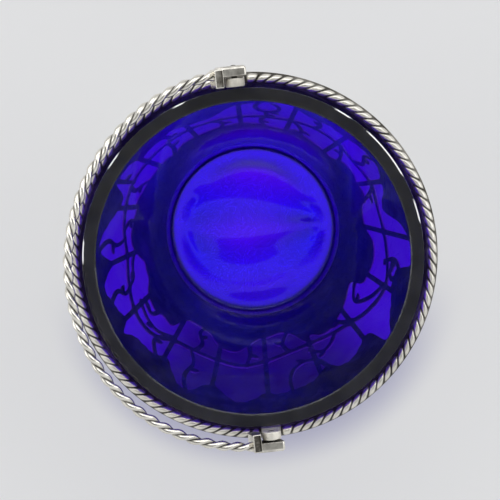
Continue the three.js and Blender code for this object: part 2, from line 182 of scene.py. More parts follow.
room = bpy.data.worlds.new("room")
room.use_nodes = True
tree = room.node_tree
background = next(n for n in tree.nodes if n.type == "BACKGROUND")
direction = add_node(tree, "ShaderNodeTexCoord").outputs["Generated"]
height = add_node(tree, "ShaderNodeSeparateXYZ")
tree.links.new(direction, height.inputs[0])
overhead = mapped(tree, height.outputs["Z"], *overhead_rise, 0.0, 1.0)
patches = []
for middle, reach in ((dark_middle, dark_reach), (mirror_middle, mirror_reach)):
    along_patch = add_node(tree, "ShaderNodeVectorMath", {"operation": "DOT_PRODUCT"})
    along_patch.inputs[1].default_value = middle
    tree.links.new(direction, along_patch.inputs[0])
    edges = [math.cos(math.radians(a)) for a in reach]
    patches.append(mapped(tree, along_patch.outputs["Value"], *edges, 0.0, 1.0))
room_rays = add_node(tree, "ShaderNodeLightPath")
strength = mapped(tree, height.outputs["Z"], 0.0, room_rise, room_low, room_high)
overhead_in_glass = add_node(tree, "ShaderNodeMath", {"operation": "MULTIPLY"})
tree.links.new(room_rays.outputs["Is Transmission Ray"], overhead_in_glass.inputs[0])
tree.links.new(patches[1], overhead_in_glass.inputs[1])
for factor, value in ((overhead, room_overhead), (patches[0], dark_patch),
                      (overhead_in_glass.outputs[0], room_in_glass),
                      (room_rays.outputs["Is Camera Ray"], room_for_camera)):
    step = add_node(tree, "ShaderNodeMix", B=value)
    tree.links.new(factor, step.inputs["Factor"])
    tree.links.new(strength, step.inputs["A"])
    strength = step.outputs["Result"]
tree.links.new(strength, background.inputs["Strength"])
background.inputs["Color"].default_value = room_colour
scene.world = room

for name, (spot, size, power) in lamps.items():
    data = bpy.data.lights.new(name, "AREA")
    data.shape = "RECTANGLE"
    data.size, data.size_y = size
    data.energy = power
    lamp = bpy.data.objects.new(name, data)
    lamp.location = spot
    lamp.rotation_euler = (-Vector(spot)).to_track_quat("-Z", "Y").to_euler()
    scene.collection.objects.link(lamp)

# Base plate.
# A spun silver disc that closes the foot and carries the glass. Its faces keep the fine rings
# of the lathe. The silver finish here also serves the cast and pierced pieces above it.
plate_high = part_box("base_plate")[1]
plate_radius = plate_high.x / MM
plate_thickness = plate_high.z / MM
plate_edge = 0.25
silver_bright = (0.87, 0.835, 0.755, 1.0)
silver_dull = (0.10, 0.092, 0.078, 1.0)
darkening_roughness = 0.3
grain_roughness = (-0.06, 0.1)
grain_relief = 0.04 * MM
lathe_relief = 0.03 * MM
turned_steps = 192


def silver_finish(name, roughness, grain_scale, rings=0.0, cloudy=0.25, grain_depth=0.15,
                  stretch=(1, 1, 1)):
    """Silver that is bright on its faces and darker where the mesh's point values say: oxide in cuts and
    hollows, and painted shade in gaps and on shaded faces.
    """
    material, tree, shader, output = node_material(name)
    shader.inputs["Metallic"].default_value = 1.0
    link = tree.links.new
    place = add_node(tree, "ShaderNodeTexCoord").outputs["Object"]
    cloud = add_node(tree, "ShaderNodeTexNoise", Scale=160.0, Detail=5.0, Roughness=0.6)
    grain = add_node(tree, "ShaderNodeTexNoise", Scale=grain_scale, Detail=6.0, Roughness=0.65)
    filed = add_node(tree, "ShaderNodeVectorMath", {"operation": "MULTIPLY"})
    filed.inputs[1].default_value = stretch
    link(place, filed.inputs[0])
    link(place, cloud.inputs["Vector"])
    link(filed.outputs["Vector"], grain.inputs["Vector"])
    oxide_and_shade = add_node(tree, "ShaderNodeAttribute", {"attribute_name": "oxide_and_shade"}).outputs["Fac"]
    patchy = mapped(tree, cloud.outputs["Fac"], 0.3, 0.75, -cloudy, cloudy)
    darkening = add_node(tree, "ShaderNodeMath", {"operation": "ADD", "use_clamp": True})
    link(oxide_and_shade, darkening.inputs[0])
    link(patchy, darkening.inputs[1])
    colour = add_node(tree, "ShaderNodeMix", {"data_type": "RGBA"})
    colour.inputs[6].default_value = silver_bright
    colour.inputs[7].default_value = silver_dull
    link(darkening.outputs[0], colour.inputs["Factor"])
    link(colour.outputs[2], shader.inputs["Base Color"])
    polish = add_node(tree, "ShaderNodeMath", {"operation": "MULTIPLY_ADD"})
    polish.inputs[1].default_value = darkening_roughness
    link(darkening.outputs[0], polish.inputs[0])
    smooth, rough = [roughness + change for change in grain_roughness]
    link(mapped(tree, grain.outputs["Fac"], 0.3, 0.7, smooth, rough), polish.inputs[2])
    link(polish.outputs[0], shader.inputs["Roughness"])
    bump = add_node(tree, "ShaderNodeBump", Strength=grain_depth, Distance=grain_relief)
    link(grain.outputs["Fac"], bump.inputs["Height"])
    if rings:
        turning = add_node(tree, "ShaderNodeTexWave", {"wave_type": "RINGS", "rings_direction": "Z"},
                           Scale=rings, Distortion=0.6, Detail=2.0)
        link(place, turning.inputs["Vector"])
        lathe_marks = add_node(tree, "ShaderNodeBump", Strength=0.1, Distance=lathe_relief)
        link(turning.outputs["Fac"], lathe_marks.inputs["Height"])
        link(bump.outputs["Normal"], lathe_marks.inputs["Normal"])
        bump = lathe_marks
    link(bump.outputs["Normal"], shader.inputs["Normal"])
    return material


def corner_arc(centre, radius, start, end, steps=4):
    points = []
    for i in range(steps + 1):
        turn = math.radians(start + (end - start) * i / steps)
        points.append((centre[0] + radius * math.cos(turn), centre[1] + radius * math.sin(turn)))
    return points


def grid_faces(rows, around, closed_rows):
    """Quads over rows of points that each close round."""
    faces = []
    for i in range(rows if closed_rows else rows - 1):
        low = i * around
        high = (i + 1) % rows * around
        for j in range(around):
            k = (j + 1) % around
            faces.append((low + j, low + k, high + k, high + j))
    return faces


def point_values(mesh, name, values):
    """Gives each point of a mesh a value that a material reads by this name."""
    layer = mesh.attributes.new(name, "FLOAT", "POINT")
    layer.data.foreach_set("value", np.asarray(values, np.float32))


def finished(mesh, sharp, weld=0.0):
    """Turns all faces outward, after joining points that lie within the weld, and smooths the mesh."""
    shape = bmesh.new()
    shape.from_mesh(mesh)
    if weld:
        bmesh.ops.remove_doubles(shape, verts=shape.verts, dist=weld)
    bmesh.ops.recalc_face_normals(shape, faces=shape.faces)
    shape.to_mesh(mesh)
    shape.free()
    mesh.shade_smooth()
    mesh.set_sharp_from_angle(angle=math.radians(sharp))
    return mesh


def mesh_from(name, points, faces, sharp=35.0, oxide_and_shade=None):
    mesh = bpy.data.meshes.new(name)
    mesh.from_pydata((np.asarray(points) * MM).tolist(), [], faces)
    if oxide_and_shade is not None:
        point_values(mesh, "oxide_and_shade", oxide_and_shade)
    return finished(mesh, sharp)


def held_straight(profile, closed, guard=0.06):
    """Adds a point close to each end of a long straight stretch, so that its shading stays flat."""
    held = []
    count = len(profile)
    for i in range(count if closed else count - 1):
        here, after = Vector(profile[i]), Vector(profile[(i + 1) % count])
        held.append(tuple(here))
        span = (after - here).length
        if span > 8 * guard:
            held.append(tuple(here.lerp(after, guard / span)))
            held.append(tuple(after.lerp(here, guard / span)))
    return held if closed else held + [tuple(profile[-1])]


def turned_mesh(name, profile, sharp=35.0, steps=turned_steps, oxide_and_shade=None):
    """A closed solid of revolution. Its profile of (radius, height) runs from axis to axis, or closes
    on itself."""
    profile = held_straight(profile, profile[0][0] > 1e-6)
    turn = np.arange(steps) * 2 * math.pi / steps
    rings = [p for p in profile if p[0] > 1e-6]
    points = [(r * math.cos(t), r * math.sin(t), z) for r, z in rings for t in turn]
    capped = len(rings) < len(profile)
    faces = grid_faces(len(rings), steps, not capped)
    if capped:
        for ring, (_, z) in ((0, profile[0]), (len(rings) - 1, profile[-1])):
            centre = len(points)
            points.append((0.0, 0.0, z))
            faces += [(ring * steps + j, ring * steps + (j + 1) % steps, centre) for j in range(steps)]
    return mesh_from(name, points, faces, sharp, None if oxide_and_shade is None else np.full(len(points), oxide_and_shade))


def placed(name, mesh, material, body, slot, *nodes):
    """Puts a finished piece in the scene on its body, in place of its plain solids."""
    mesh.materials.append(material)
    piece = bpy.data.objects.new(name, mesh)
    scene.collection.objects.link(piece)
    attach(piece, body)
    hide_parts(*nodes)


silver_spun = silver_finish("silver_spun", 0.3, 5000.0, rings=2600.0, cloudy=0.05, grain_depth=0.012)
silver_cast = silver_finish("silver_cast", 0.33, 1500.0)
plate_profile = (
    [(0, 0)] + corner_arc((plate_radius - plate_edge, plate_edge), plate_edge, -90, 0)
    + corner_arc((plate_radius - plate_edge, plate_thickness - plate_edge), plate_edge, 0, 90)
    + [(0, plate_thickness)]
)
placed("spun_base", turned_mesh("spun_base", plate_profile), silver_spun, "pail", "silver", "base_plate")

# Foot moulding.
# A half-round silver wire, cut all round with slanting strokes like a rope, soldered where the
# wall meets the base plate.
foot_low, foot_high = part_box("foot_moulding")
foot_rope_width = 1.8
foot_rope_height = (foot_high.z - foot_low.z) / MM
foot_rope_radius = foot_high.x / MM - foot_rope_width / 2
foot_strokes = 52
foot_lean = 0.9
wire_edge = 0.12
stroke_depth = 0.5
stroke_waist = 0.12
stroke_corners = (4, 2.2)
stroke_dirt = (0.04, 0.3)
low_side_shade = 0.5
end_part = 26


def rope_cut_mesh(name, radius, bottom, width, height, strokes, lean, start, sweep):
    """A half-round wire bent round the pail from start through sweep, in degrees clockwise from +X.
    Each stroke is a rounded lobe between two narrow slanting cuts. Near a cut end they stand upright."""
    per_stroke = 16
    around = 18
    closed = sweep >= 360
    steps = int(round(strokes * sweep / 360 * per_stroke))
    along = np.arange(steps + (0 if closed else 1)) / steps
    section = np.linspace(0, math.pi, around)
    across = -np.cos(section) * width / 2
    up = height * (wire_edge + (1 - wire_edge) * np.sin(section) ** 0.75)
    turn = np.radians(start + sweep * along)[:, None]
    ends = np.ones_like(along) if closed else np.minimum(1, np.minimum(along, 1 - along) * end_part)
    phase = along[:, None] * strokes * sweep / 360 - lean * ends[:, None] * across[None, :] / width
    lobe = 2 * (phase - np.floor(phase)) - 1
    sharpness = stroke_corners[0] - stroke_corners[1] * (2 * across[None, :] / width) ** 2
    cut = 1 - np.sqrt(np.clip(1 - np.abs(lobe) ** sharpness, 0, 1))
    crown = 1 - stroke_depth * cut
    r = radius + across[None, :] * (1 - stroke_waist * cut)
    z = bottom + up[None, :] * crown
    top = np.stack([r * np.cos(turn), -r * np.sin(turn), z], axis=-1)
    under = top[:, [around - 1, around - 1 - around // 2, 0]]
    under[..., 2] = bottom
    loops = np.concatenate([top, under], axis=1)
    count = loops.shape[1]
    # The rope cuts darken with oxide, and the low sides of the wire are painted darker, as shade where the
    # wire meets the surface below.
    low_sides = (1 - np.sin(section)[None, :]) ** 2
    darkening = np.clip((cut - stroke_dirt[0]) / stroke_dirt[1], 0, 1) + low_side_shade * low_sides
    oxide_and_shade = np.concatenate([np.clip(darkening, 0, 1), np.ones((len(along), 3))], axis=1).ravel()
    faces = grid_faces(len(along), count, closed)
    if not closed:
        faces.append(tuple(range(count)))
        faces.append(tuple(range((len(along) - 1) * count, len(along) * count)))
    return mesh_from(name, loops.reshape(-1, 3), faces, 50.0, oxide_and_shade)


foot_mesh = rope_cut_mesh(
    "foot_rope", foot_rope_radius, foot_low.z / MM, foot_rope_width, foot_rope_height,
    foot_strokes, foot_lean, 0, 360,
)
placed("foot_rope", foot_mesh, silver_cast, "pail", "silver", "foot_moulding")

# Pierced body.
# A cone of sheet silver, sawn through by hand: sixteen uprights, a band of foliage under the rim,
# a garland that winds round the middle, scrolls between them and a solid scrolled band at the foot.
wall_low, wall_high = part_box("pierced_body")
wall_bottom = wall_low.z / MM
wall_top = wall_high.z / MM
wall_thickness = 0.6
wall_top_radius = 36.3
wall_foot_radius = 22.4
upright_count = 16
upright_width = 1.2
upright_foot = 20
garland_width = 1.3
scroll_width = 1.0
scroll_half = 0.62
scroll_taper = 0.22
scroll_reach = 4.0
knob_radius = 0.78
leaf_length = 2.9
leaf_width = 1.5
leaf_lean = 50
boss_radius = 1.15
far_off = 9.0
sheet_cell = 0.29
least_inset = 0.02
crossing_room = 0.08
sheet_edge = 0.2
sheet_swell = 0.14
swell_reach = 0.7
scallop = 0.45
scallop_pitch = 2.5
cut_line = 0.2
cut_depth = 0.1
edge_line = 0.8
top_veins = (0.8, 0.06)
foot_veins = (0.75, 0.03)
vein_fan = 3.4
vein_length = 28
edge_dirt = 0.5
edge_dirt_fade = 1.8
line_dirt = 0.9
border_lines = (wall_top - 1.4, wall_top - 2.1, wall_bottom + 2.6, wall_bottom + 3.3)

# Lower edge of the foliage that hangs from the top band, as (angle, percent of the wall's height)
foliage_edge = [
    (2, 93), (6, 95), (10, 93), (13, 80), (18, 76), (22, 77), (25, 80), (32, 87), (36, 94), (39, 93),
    (41, 80), (44, 75), (48, 78), (53, 81), (58, 80), (62, 76), (65, 73), (70, 78), (75, 80), (80, 80),
    (86, 81), (91, 79), (96, 84), (102, 87), (107, 82), (112, 76), (116, 79), (119, 85), (122, 89),
    (126, 87), (130, 80), (134, 73), (139, 78), (144, 79), (150, 81), (154, 87), (157, 79), (161, 81),
    (167, 85), (172, 88), (176, 83), (180, 74), (184, 84), (188, 89), (192, 87), (197, 80), (201, 74),
    (205, 71), (209, 75), (212, 86), (217, 88), (222, 86), (226, 78), (231, 78), (236, 77), (242, 79),
    (247, 73), (252, 70), (258, 69), (263, 75), (267, 80), (270, 81), (275, 84), (282, 87), (288, 89),
    (292, 87), (296, 81), (301, 79), (307, 81), (313, 80), (319, 83), (323, 85), (329, 86), (334, 83),
    (337, 78), (341, 77), (346, 69), (351, 68), (354, 81), (357, 88),
]

# Middle of the garland bar that winds round the pail, as (angle, percent of the wall's height)
garland_line = [
    (6, 63), (22, 69), (36, 62), (45, 55), (54, 50), (68, 45), (79, 45), (90, 49), (101, 53),
    (113, 52), (126, 52), (135, 55), (142, 63), (149, 66), (158, 65), (168, 60), (180, 55),
    (192, 59), (203, 63), (214, 67), (225, 66), (236, 65), (248, 63), (259, 60), (270, 58),
    (286, 58), (293, 60), (303, 63), (315, 63), (326, 60), (338, 63), (350, 59),
]

# Scrolled top edge of the solid lower band, as (angle, percent of the wall's height)
band_edge = [
    (2, 39), (6, 46), (13, 49), (18, 48), (23, 46), (28, 43), (31, 32), (34, 31), (38, 34), (43, 38),
    (48, 41), (52, 43), (56, 45), (61, 43), (65, 38), (69, 41), (73, 32), (77, 26), (82, 24), (88, 26),
    (93, 27), (98, 33), (104, 40), (110, 40), (115, 36), (119, 30), (124, 28), (131, 28), (135, 33),
    (139, 44), (145, 44), (150, 47), (156, 45), (160, 42), (164, 36), (169, 35), (173, 35), (177, 40),
    (182, 46), (188, 49), (195, 48), (201, 47), (205, 50), (210, 48), (217, 47), (223, 46), (229, 45),
    (234, 42), (240, 46), (247, 46), (253, 45), (260, 45), (266, 44), (271, 45), (277, 43), (284, 40),
    (290, 39), (294, 42), (298, 46), (302, 41), (306, 39), (312, 38), (317, 37), (320, 37), (324, 45),
    (331, 48), (337, 45), (342, 47), (346, 44), (350, 38), (354, 36), (358, 36),
]

# Scroll bars: each is a smooth line through (angle, percent of the wall's height)
scrolls = [
    [(23, 66), (29, 60), (33, 54), (36.5, 48), (36.5, 43), (34, 39), (31, 36)],
    [(54, 50), (58, 56), (62, 58), (65.5, 56), (68, 51)],
    [(60, 80), (64, 72), (66, 64), (70, 59), (75, 59), (79, 64), (80.5, 73), (80, 82)],
    [(47, 51), (49.5, 46), (51, 41)],
    [(137, 80), (141, 72), (142.5, 67), (141, 61), (137, 55)],
    [(136, 53), (143, 59), (150, 59), (158, 55)],
    [(148.5, 45), (150, 52), (154, 52.5), (157.5, 50)],
    [(13.5, 80), (10.5, 76), (10.5, 70), (13, 63)],
    [(17.5, 77), (18.5, 73), (16, 70), (13.5, 72), (12, 74)],
    [(214, 88), (214, 78), (214.5, 66)],
    [(281, 88), (277.5, 83), (276.5, 75), (280, 68), (285, 70), (286.5, 77), (284, 83), (281, 87)],
    [(281, 69), (282, 58)],
    [(179, 47), (174, 51), (169.5, 52), (167, 60)],
    [(294, 60), (298, 53), (300, 45), (300.5, 40)],
    [(317, 64), (320, 55), (323, 44)],
    [(339, 64), (342.5, 56), (346, 44)],
    [(234, 43), (236.5, 54), (236, 65)],
    [(98, 33), (97, 42), (99, 53)],
    [(192, 59), (196, 53), (195, 47)],
    [(258, 60), (262, 52), (260, 44)],
    [(212, 67), (210, 58), (214, 52), (216, 46)],
    [(281, 58), (279, 50), (282, 40)],
    [(124, 52), (121, 42), (125, 35), (123, 28)],
    [(78, 45), (81, 36), (77, 26)],
    [(122, 89), (125, 76), (122, 64), (126, 52)],
    [(166, 84), (169, 74), (165, 67), (167, 60)],
    [(187, 88), (190, 77), (186, 68), (188, 57)],
    [(303, 63), (305, 72), (302, 80)],
    [(326, 60), (329, 70), (325, 78), (328, 86)],
    [(237, 77), (239, 71), (237, 65)],
]


def wall_inner(z):
    flare = wall_top_radius - wall_foot_radius
    return wall_foot_radius + flare * (z - wall_bottom) / (wall_top - wall_bottom)


def heights_along(table, angle):
    """Height of a smooth closed line through a table's points, at every angle."""
    a = np.array([p[0] for p in table], float)
    h = np.array([p[1] for p in table], float)
    a = np.concatenate([a[-2:] - 360, a, a[:2] + 360])
    h = np.concatenate([h[-2:], h, h[:2]])
    slope = np.zeros_like(h)
    slope[1:-1] = (h[2:] - h[:-2]) / (a[2:] - a[:-2])
    i = np.clip(np.searchsorted(a, angle, side="right") - 1, 1, len(a) - 3)
    gap = a[i + 1] - a[i]
    t = (angle - a[i]) / gap
    value = ((2 * t**3 - 3 * t**2 + 1) * h[i] + (t**3 - 2 * t**2 + t) * slope[i] * gap
             + (3 * t**2 - 2 * t**3) * h[i + 1] + (t**3 - t**2) * slope[i + 1] * gap)
    return value / 100 * wall_top


def smooth_line(table, per_span=8, softened=14):
    """Points of a Catmull-Rom line through a table of (angle, percent), as (angle, height)."""
    p = np.array(table, float) * (1.0, wall_top / 100)
    p = np.concatenate([[2 * p[0] - p[1]], p, [2 * p[-1] - p[-2]]])
    out = []
    for i in range(1, len(p) - 2):
        for t in np.arange(per_span) / per_span:
            out.append(0.5 * (2 * p[i] + (p[i + 1] - p[i - 1]) * t
                              + (2 * p[i - 1] - 5 * p[i] + 4 * p[i + 1] - p[i + 2]) * t**2
                              + (3 * p[i] - p[i - 1] - 3 * p[i + 1] + p[i + 2]) * t**3))
    out.append(p[-2])
    out = np.array(out)
    for _ in range(softened):
        out[1:-1] = (out[:-2] + 2 * out[1:-1] + out[2:]) / 4
    return out


def merged(a, b, soft=0.25):
    """Joins two depths, with a small fillet where they meet."""
    blend = np.clip(0.5 + 0.5 * (a - b) / soft, 0, 1)
    return b * (1 - blend) + a * blend + soft * blend * (1 - blend) * 0.5


def scroll_depths(points, lean, angle, z, scale):
    """Depth inside one scroll: a bar that tapers to a knob, and the leaf that springs from its middle."""
    inside = np.full_like(angle, -far_off)
    for k, ((a0, z0), (a1, z1)) in enumerate(zip(points[:-1], points[1:])):
        dx, dz = (a1 - a0) * scale, z1 - z0
        px, pz = (angle - a0) * scale, z - z0
        t = np.clip((px * dx + pz * dz) / (dx * dx + dz * dz + 1e-9), 0, 1)
        half = scroll_width * (scroll_half - scroll_taper * k / len(points))
        inside = np.maximum(inside, half - np.hypot(px - t * dx, pz - t * dz))
    knob = knob_radius - np.hypot((angle - points[-1, 0]) * scale, z - points[-1, 1])
    inside = merged(inside, knob)
    middle = len(points) // 2
    (a0, z0), (a1, z1) = points[middle - 1], points[middle + 1]
    heading = math.atan2(z1 - z0, (a1 - a0) * scale.mean()) + lean
    px, pz = (angle - points[middle, 0]) * scale, z - points[middle, 1]
    along = px * math.cos(heading) + pz * math.sin(heading)
    across = pz * math.cos(heading) - px * math.sin(heading)
    share = np.clip(along / leaf_length, 0, 1)
    leaf = leaf_width / 2 * np.sin(np.pi * share**0.8) - np.abs(across)
    return merged(inside, np.where((along > 0) & (along < leaf_length), leaf, -far_off))


def wall_depths(angle, z):
    """How far each point of the sheet lies inside the metal that is left, in millimetres."""
    per_degree = np.radians(wall_inner(z) + wall_thickness / 2)
    step = 0.05
    depth = np.full_like(angle, -far_off)
    for table, side in ((band_edge, -1), (foliage_edge, 1), (garland_line, 0)):
        line = heights_along(table, angle)
        if table is foliage_edge:
            scallops = np.pi * angle * np.radians(wall_top_radius) / scallop_pitch
            line = line - scallop * np.abs(np.sin(scallops))
        rise = heights_along(table, (angle + step) % 360) - heights_along(table, angle)
        off = (z - line) / np.sqrt(1 + (rise / (step * per_degree)) ** 2)
        depth = merged(depth, garland_width / 2 - np.abs(off) if side == 0 else off * side)
    pitch = 360 / upright_count
    from_bar = (angle + pitch / 2) % pitch - pitch / 2
    bar = upright_width / 2 - np.abs(from_bar) * per_degree
    bar = np.where(z > wall_top * upright_foot / 100, bar, -far_off)
    depth = merged(depth, bar)
    bosses = heights_along(garland_line, np.round(angle / pitch) * pitch % 360)
    depth = merged(depth, boss_radius - np.hypot(from_bar * per_degree, z - bosses))
    reach = scroll_reach * 180 / (math.pi * wall_foot_radius)
    for number, table in enumerate(scrolls):
        points = smooth_line(table)
        window = ((angle > points[:, 0].min() - reach) & (angle < points[:, 0].max() + reach)
                  & (z > points[:, 1].min() - scroll_reach) & (z < points[:, 1].max() + scroll_reach))
        lean = math.radians(leaf_lean if number % 2 else -leaf_lean)
        scroll = scroll_depths(points, lean, angle[window], z[window], per_degree[window])
        depth[window] = merged(depth[window], scroll)
    return depth


def engraved_lines(angle, z, inset):
    """Strength of the cut lines: one along every edge, two round each border, and a fan of veins
    in each bay, from the top and from the foot."""
    pitch = 360 / upright_count
    x = ((angle % pitch) - pitch / 2) * np.radians(wall_inner(z))
    lines = [np.abs(inset - edge_line)]
    for height in border_lines:
        lines.append(np.abs(z - height))
    inner = (inset > edge_line) & (z < border_lines[1]) & (z > border_lines[3])
    for near, (narrow, widening) in ((wall_top - z, top_veins), (z - wall_bottom, foot_veins)):
        spacing = narrow + widening * near
        vein = x / spacing
        off = np.abs(vein - np.round(vein)) * spacing
        in_fan = inner & (near < vein_length) & (np.abs(vein) < vein_fan)
        lines.append(np.where(in_fan, off, far_off))
    nearest = np.min(lines, axis=0)
    return np.clip(1 - (nearest / cut_line) ** 2, 0, 1)


def pierced_mesh(name):
    """Lays a fine grid on the unrolled sheet, keeps what lies in the metal and bends it to the cone."""
    columns = int(round(360 * math.radians(wall_top_radius) / sheet_cell / 16)) * 16
    rows = int(round((wall_top - wall_bottom) / sheet_cell))
    angles = np.arange(columns) * 360 / columns
    heights = np.linspace(wall_bottom, wall_top, rows + 1)
    angle, z = np.meshgrid(angles, heights)
    depth = wall_depths(angle, z)
    depth[np.abs(depth) < least_inset] = least_inset
    flat = {}
    points = []

    def corner(i, j):
        j %= columns
        key = (i, j)
        if key not in flat:
            flat[key] = len(points)
            points.append((angles[j], heights[i], depth[i, j]))
        return flat[key]

    def crossing(i0, j0, i1, j1):
        j0, j1 = j0 % columns, j1 % columns
        key = (i0, j0, i1, j1) if (i0, j0) < (i1, j1) else (i1, j1, i0, j0)
        if key not in flat:
            d0, d1 = depth[i0, j0], depth[i1, j1]
            t = min(max(d0 / (d0 - d1), crossing_room), 1 - crossing_room)
            a0, a1 = angles[j0], angles[j1]
            if abs(a1 - a0) > 180:
                a1 += 360 if a1 < a0 else -360
            flat[key] = len(points)
            points.append((a0 + t * (a1 - a0), heights[i0] + t * (heights[i1] - heights[i0]), 0.0))
        return flat[key]

    faces = []
    inside = depth > 0
    for i in range(rows):
        for j in range(columns):
            cell = [(i, j), (i, j + 1), (i + 1, j + 1), (i + 1, j)]
            marks = [inside[p, q % columns] for p, q in cell]
            if not any(marks):
                continue
            if all(marks):
                faces.append([corner(p, q) for p, q in cell])
                continue
            ring = []
            for k in range(4):
                here, after = cell[k], cell[(k + 1) % 4]
                if marks[k]:
                    ring.append(corner(*here))
                if marks[k] != marks[(k + 1) % 4]:
                    ring.append(crossing(*here, *after))
            if len(ring) < 6 or marks.count(True) == 3:
                faces.append(ring)
                continue
            faces += [ring[:3], ring[3:]]
    data = np.array(points)
    turn = np.radians(data[:, 0])
    zs = data[:, 1]
    inset = np.clip(data[:, 2], 0, None)
    swell = sheet_swell * (1 - np.exp(-inset / swell_reach))
    edge = sheet_edge * np.clip(1 - inset / sheet_edge, 0, 1) ** 2
    inner = wall_inner(zs)
    lines = engraved_lines(data[:, 0], zs, inset)
    outer = inner + wall_thickness - sheet_swell - edge + swell - cut_depth * lines
    count = len(data)
    outside = np.stack([outer * np.cos(turn), -outer * np.sin(turn), zs], axis=-1)
    inside_points = np.stack([inner * np.cos(turn), -inner * np.sin(turn), zs], axis=-1)
    sides = dict.fromkeys((a, b) for face in faces for a, b in zip(face, face[1:] + face[:1]))
    rim = [(a, b) for a, b in sides if (b, a) not in sides]
    all_faces = [tuple(f) for f in faces]
    all_faces += [tuple(v + count for v in reversed(f)) for f in faces]
    all_faces += [(b, a, a + count, b + count) for a, b in rim]
    darkening = np.maximum(np.clip(edge_dirt - inset * edge_dirt_fade, 0, edge_dirt), line_dirt * lines)
    # The inner face is dark all over: oxide on the unpolished inside, and painted shade for the narrow gap
    # behind the glass.
    oxide_and_shade = np.concatenate([darkening, np.ones(count)])
    return mesh_from(name, np.concatenate([outside, inside_points]), all_faces, 50.0, oxide_and_shade)


placed("pierced_wall", pierced_mesh("pierced_wall"), silver_cast, "pail", "silver", "pierced_body")

# Rim lip.
# A flat silver ring soldered on the top of the wall. It carries the rope moulding and the lugs.
lip_low, lip_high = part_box("rim_lip")
lip_radius = lip_high.x / MM
lip_bottom, lip_top = lip_low.z / MM, lip_high.z / MM
lip_round = 0.3
lip_flats = (0.35, 0.4)
lip_break = 0.1
lip_profile = (
    [(wall_top_radius, lip_bottom), (lip_radius - lip_flats[0], lip_bottom)]
    + corner_arc((lip_radius - lip_round, (lip_bottom + lip_top) / 2), lip_round, -70, 70, 6)
    + [(lip_radius - lip_flats[1], lip_top), (wall_top_radius + lip_break, lip_top)]
    + [(wall_top_radius, lip_top - lip_break)]
)
# The whole ring takes the darkest silver, as painted shade for its shaded outer edge.
lip_mesh = turned_mesh("rim_lip_ring", lip_profile, oxide_and_shade=1.0)
placed("rim_lip_ring", lip_mesh, silver_cast, "pail", "silver", "rim_lip")

# Rim ropes.
# Two lengths of half-round wire with slanting rope cuts, one on each side, from lug to lug.
rope_low, rope_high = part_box("rim_rope_right")
rim_rope_width = 1.85
rim_rope_height = (rope_high.z - rope_low.z) / MM
rim_rope_radius = rope_high.x / MM - rim_rope_width / 2
rope_bottom = rope_low.z / MM
rim_strokes = 104
rim_lean = 0.95
lug_room = rope_low.x / MM
rope_half = 90 - math.degrees(math.asin(lug_room / (rim_rope_radius - rim_rope_width / 2)))
for side, middle in (("left", 180), ("right", 0)):
    rope = rope_cut_mesh(
        "rope_" + side, rim_rope_radius, rope_bottom, rim_rope_width, rim_rope_height,
        rim_strokes, rim_lean, middle - rope_half, 2 * rope_half,
    )
    placed("rope_" + side, rope, silver_cast, "pail", "silver", "rim_rope_" + side)

# Hinge lugs and pins.
# Two cast silver lugs stand on the lip, round at the top. A riveted pin goes through each of them
# and through the knuckle outside it.
lug_low, lug_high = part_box("hinge_lug_top")
lug_half = lug_high.x / MM
pivot = lug_high.z / MM - lug_half
lug_faces = (lug_low.y / MM, lug_high.y / MM)
lug_round = 0.25
pin_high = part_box("hinge_pin_top")[1]
pin_radius = pin_high.x / MM
pin_end = pin_high.y / MM
pin_clearance = 0.15
pin_bevel = 0.08
rivet_side = 0.22
rivet_round = 0.3
rivet_flat = 0.45
edge_round = 0.14
face_reach = 0.02


def circle(radius, steps=40):
    return [(radius * math.cos(2 * math.pi * i / steps), radius * math.sin(2 * math.pi * i / steps))
            for i in range(steps)]


def plate_mesh(name, outline, holes, near, far, bevel=edge_round):
    """A flat plate with rounded edges, drawn in X and Z round the pivot. It stands from near to far
    along Y."""
    curve = bpy.data.curves.new(name, "CURVE")
    curve.dimensions = "2D"
    curve.fill_mode = "BOTH"
    curve.extrude = (far - near) / 2 - bevel
    curve.bevel_depth = bevel
    curve.bevel_resolution = 5
    curve.offset = -bevel
    for loop in [outline, *holes]:
        spline = curve.splines.new("POLY")
        spline.points.add(len(loop) - 1)
        spline.use_cyclic_u = True
        for point, (x, z) in zip(spline.points, loop):
            point.co = (x, z, 0, 1)
    helper = bpy.data.objects.new(name + "_curve", curve)
    scene.collection.objects.link(helper)
    bpy.context.view_layer.update()
    graph = bpy.context.evaluated_depsgraph_get()
    mesh = bpy.data.meshes.new_from_object(helper.evaluated_get(graph))
    bpy.data.objects.remove(helper)
    mesh.transform(Matrix.Rotation(math.pi / 2, 4, "X"))
    mesh.transform(Matrix.Translation((0, (near + far) / 2, 0)))
    return finished(mesh, 40, weld=1e-3)


def set_on_hinge(mesh, side, tilt=0.0):
    """Takes a mesh drawn round the pivot in millimetres to its place at one end of the hinge line."""
    mesh.transform(Matrix.Rotation(math.radians(tilt), 4, "Y"))
    if side < 0:
        mesh.transform(Matrix.Diagonal((1, -1, 1, 1)))
        mesh.flip_normals()
    mesh.transform(Matrix.Diagonal((MM, MM, MM, 1)) @ Matrix.Translation((0, 0, pivot)))
    return mesh


